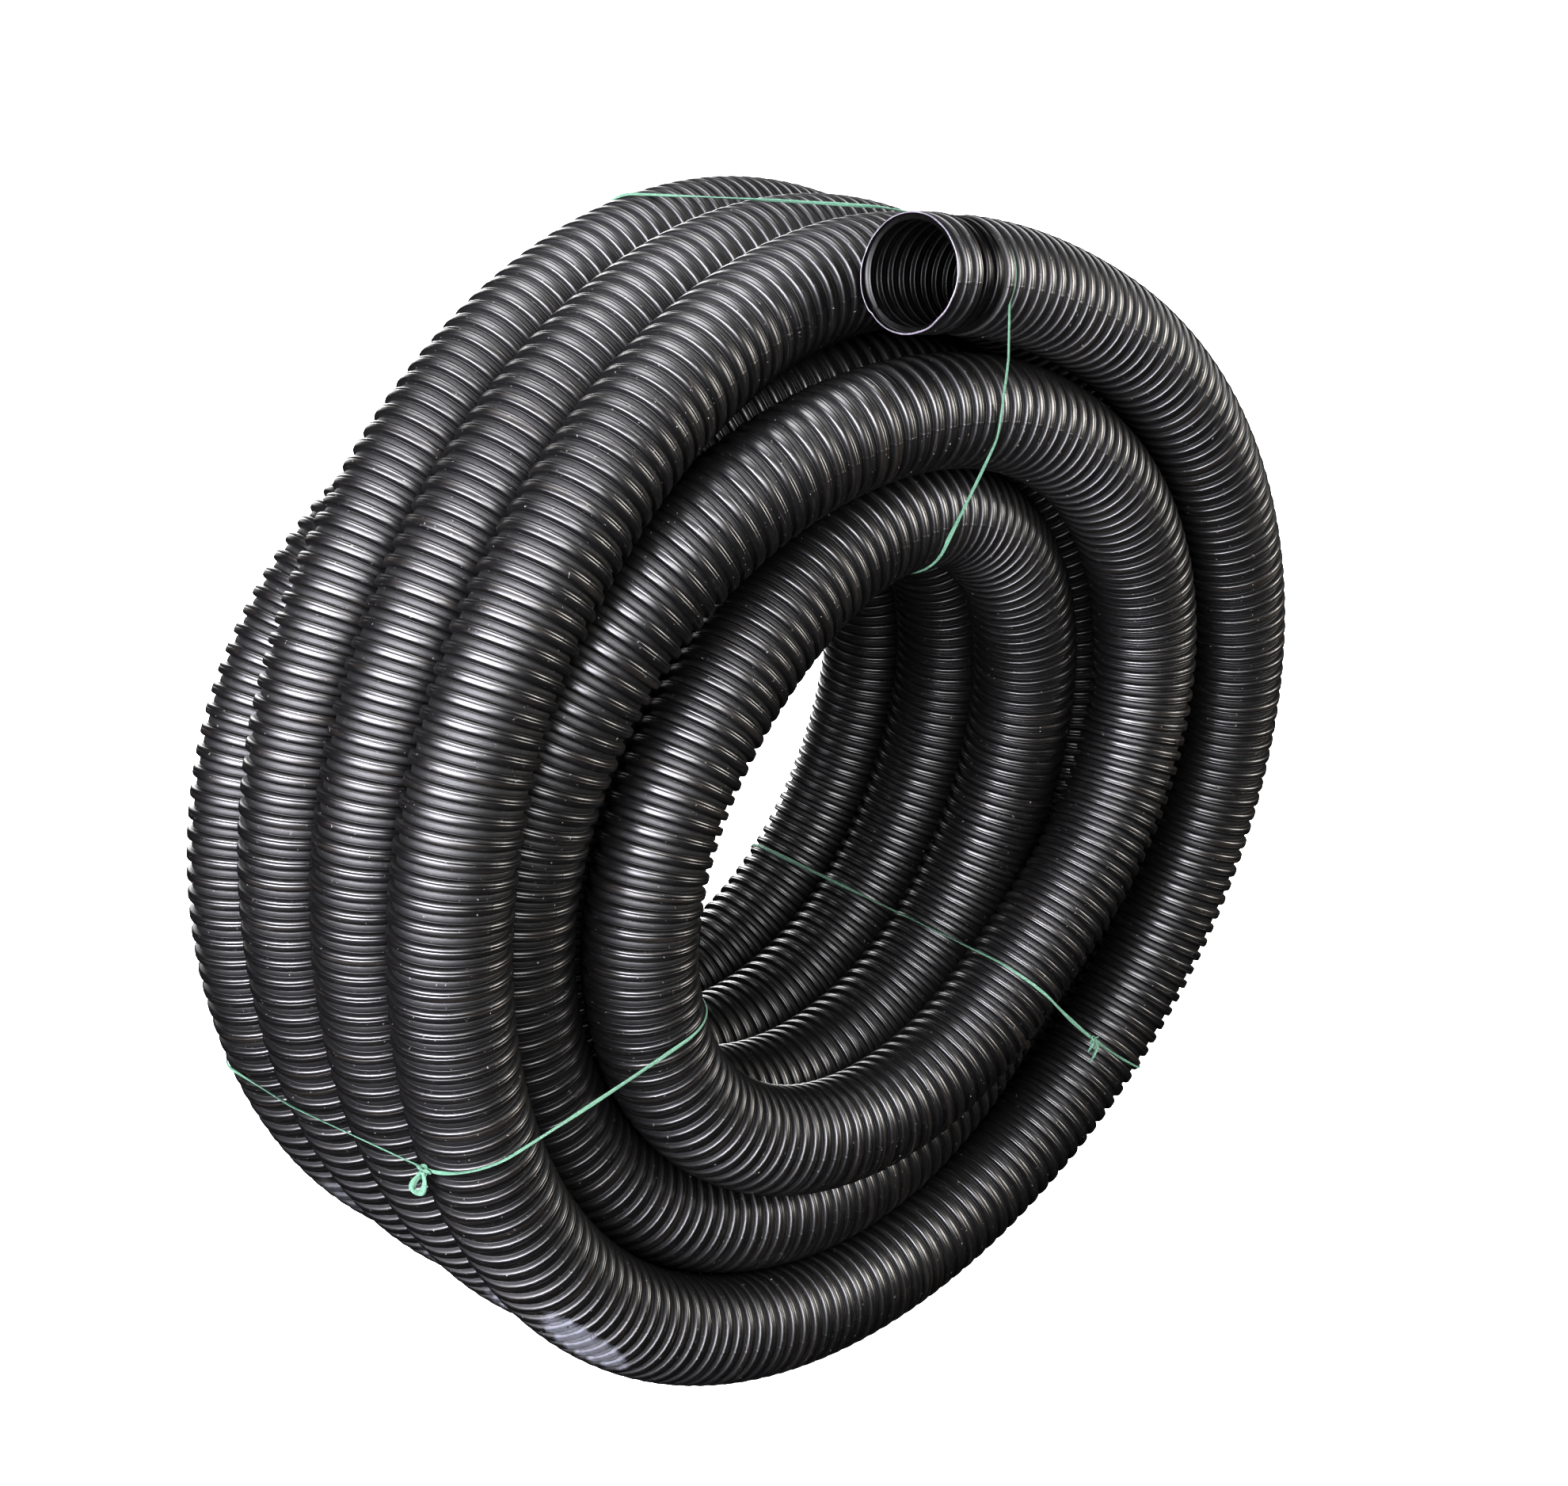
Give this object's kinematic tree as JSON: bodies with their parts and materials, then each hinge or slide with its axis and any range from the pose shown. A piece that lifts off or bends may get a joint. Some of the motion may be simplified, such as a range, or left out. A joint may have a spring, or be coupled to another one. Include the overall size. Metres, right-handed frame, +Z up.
{
  "type": "corrugated pipe coil",
  "caption": "Coil of black corrugated plastic pipe for garden irrigation and drainage, standing on its rim and tied with bands of green twine.",
  "frame": {"origin": "on the floor under the middle of the coil's outline", "axes": "+Z up, +Y along the coil's axis from the front face, where the open end is, to the back, +X to the right seen from the front"},
  "size_m": [0.9828, 0.4304, 1.0019],
  "materials": {
    "pipe": "satin black polyethylene, lightly scuffed",
    "twine": "flat fibrous polypropylene"
  },
  "bodies": {
    "root": {"open_end": "pipe", "inner_end": "pipe", "outer_turn_1": "pipe", "outer_turn_2": "pipe", "outer_turn_3": "pipe", "outer_turn_4": "pipe", "middle_turn_1": "pipe", "middle_turn_2": "pipe", "middle_turn_3": "pipe", "inner_turn_1": "pipe", "inner_turn_2": "pipe", "inner_turn_3": "pipe", "inner_turn_4": "pipe", "top_tie": "twine", "right_tie": "twine", "left_tie": "twine"}
  },
  "joints": []
}
